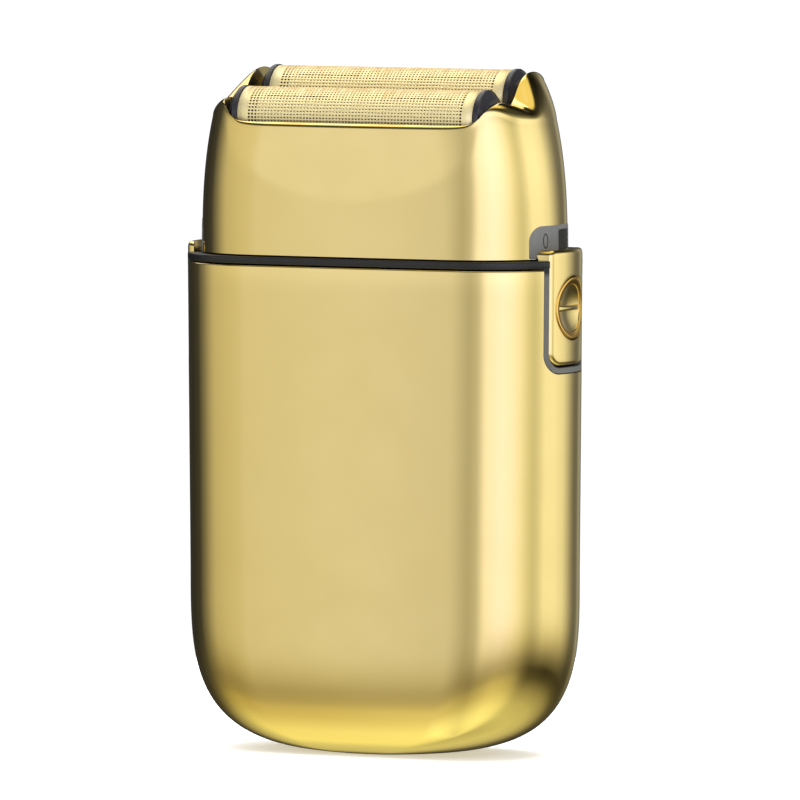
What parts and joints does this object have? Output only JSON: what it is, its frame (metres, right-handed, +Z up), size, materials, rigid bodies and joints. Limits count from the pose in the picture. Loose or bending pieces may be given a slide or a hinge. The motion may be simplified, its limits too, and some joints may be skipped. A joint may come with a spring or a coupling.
{
  "type": "foil shaver",
  "caption": "Pocket foil shaver with a polished metal casing, lift-off floating twin-foil head, side power slider and an oscillating drive.",
  "frame": {"origin": "centre of the flat base that the shaver stands on", "axes": "+Z up to the foils, front face towards -Y, power switch on the +X side"},
  "size_m": [0.0684, 0.03, 0.1121],
  "materials": {
    "gold": "polished gold plating",
    "bright_gold": "polished orange gold plating",
    "foil_gold": "perforated foil, gold coated",
    "black_rubber": "satin",
    "dark_plastic": "satin",
    "grey_plastic": "satin",
    "white_plastic": "satin",
    "steel": "ground",
    "nickel": "satin plating",
    "cell_wrap": "shrink wrap",
    "board_green": "solder mask",
    "foam": "foam",
    "clear_lens": "clear light pipe"
  },
  "bodies": {
    "handle": {"main_casing": "gold", "seal_band": "black_rubber", "switch_body": "dark_plastic", "release_spring": "steel", "drive_deck": "dark_plastic", "deck_screw_1": "steel", "deck_screw_2": "steel", "deck_screw_3": "steel", "deck_screw_4": "steel", "inner_frame": "grey_plastic", "motor_can": "nickel", "motor_end_cap": "white_plastic", "motor_bracket": "steel", "battery_cell": "cell_wrap", "battery_tab_top": "nickel", "battery_tab_bottom": "nickel", "battery_pad": "foam", "circuit_board": "board_green", "charge_chip": "dark_plastic", "charge_light": "clear_lens", "usb_socket": "nickel", "port_bezel": "dark_plastic"},
    "power_switch": {"power_switch_plate": "gold", "switch_thumb_disc": "bright_gold", "switch_carriage": "dark_plastic"},
    "release_button": {"release_button_plate": "gold", "release_thumb_disc": "bright_gold", "release_latch": "dark_plastic"},
    "head": {"head_casing": "gold", "switch_window": "grey_plastic", "release_window": "grey_plastic", "foil_frame": "dark_plastic"},
    "front_foil": {"foil_front": "foil_gold", "foil_holder_front": "dark_plastic"},
    "rear_foil": {"foil_rear": "foil_gold", "foil_holder_rear": "dark_plastic"},
    "motor_rotor": {"motor_shaft": "steel", "eccentric_cam": "nickel"},
    "front_arm": {"drive_arm_front": "white_plastic"},
    "rear_arm": {"drive_arm_rear": "white_plastic"},
    "front_cutter": {"cutter_front": "steel", "cutter_carrier_front": "white_plastic", "cutter_spring_front": "steel"},
    "rear_cutter": {"cutter_rear": "steel", "cutter_carrier_rear": "white_plastic", "cutter_spring_rear": "steel"}
  },
  "joints": [
    {"name": "switch_slide", "type": "slide", "parent": "handle", "child": "power_switch", "axis": [0, 0, 1], "range_m": [0, 0.0036]},
    {"name": "release_press", "type": "slide", "parent": "handle", "child": "release_button", "axis": [1, 0, 0], "range_m": [0, 0.001], "stiffness_N_per_m": 800, "springref_m": -0.001},
    {"name": "head_lift", "type": "slide", "parent": "handle", "child": "head", "axis": [0, 0, 1], "range_m": [0, 0.035]},
    {"name": "front_foil_float", "type": "slide", "parent": "head", "child": "front_foil", "axis": [0, -0.2419, 0.9703], "range_m": [-0.0015, 0], "stiffness_N_per_m": 400, "springref_m": 0.003},
    {"name": "rear_foil_float", "type": "slide", "parent": "head", "child": "rear_foil", "axis": [0, -0.2419, 0.9703], "range_m": [-0.0015, 0], "stiffness_N_per_m": 400, "springref_m": 0.003},
    {"name": "rotor_spin", "type": "hinge", "parent": "handle", "child": "motor_rotor", "pos_m": [0, 0, 0.08], "axis": [0, 0, 1], "continuous": true},
    {"name": "front_arm_stroke", "type": "slide", "parent": "handle", "child": "front_arm", "axis": [1, 0, 0], "range_m": [-0.0008, 0.0008]},
    {"name": "rear_arm_stroke", "type": "slide", "parent": "handle", "child": "rear_arm", "axis": [1, 0, 0], "range_m": [-0.0008, 0.0008]},
    {"name": "front_cutter_float", "type": "slide", "parent": "front_arm", "child": "front_cutter", "axis": [0, -0.2419, 0.9703], "range_m": [-0.0015, 0], "stiffness_N_per_m": 400, "springref_m": 0.003, "deforming": ["cutter_spring_front"]},
    {"name": "rear_cutter_float", "type": "slide", "parent": "rear_arm", "child": "rear_cutter", "axis": [0, -0.2419, 0.9703], "range_m": [-0.0015, 0], "stiffness_N_per_m": 400, "springref_m": 0.003, "deforming": ["cutter_spring_rear"]}
  ],
  "couplings": [
    {"joint": "rear_arm_stroke", "follows": "front_arm_stroke", "ratio": -1},
    {"joint": "front_cutter_float", "follows": "front_foil_float", "ratio": 1},
    {"joint": "rear_cutter_float", "follows": "rear_foil_float", "ratio": 1}
  ]
}
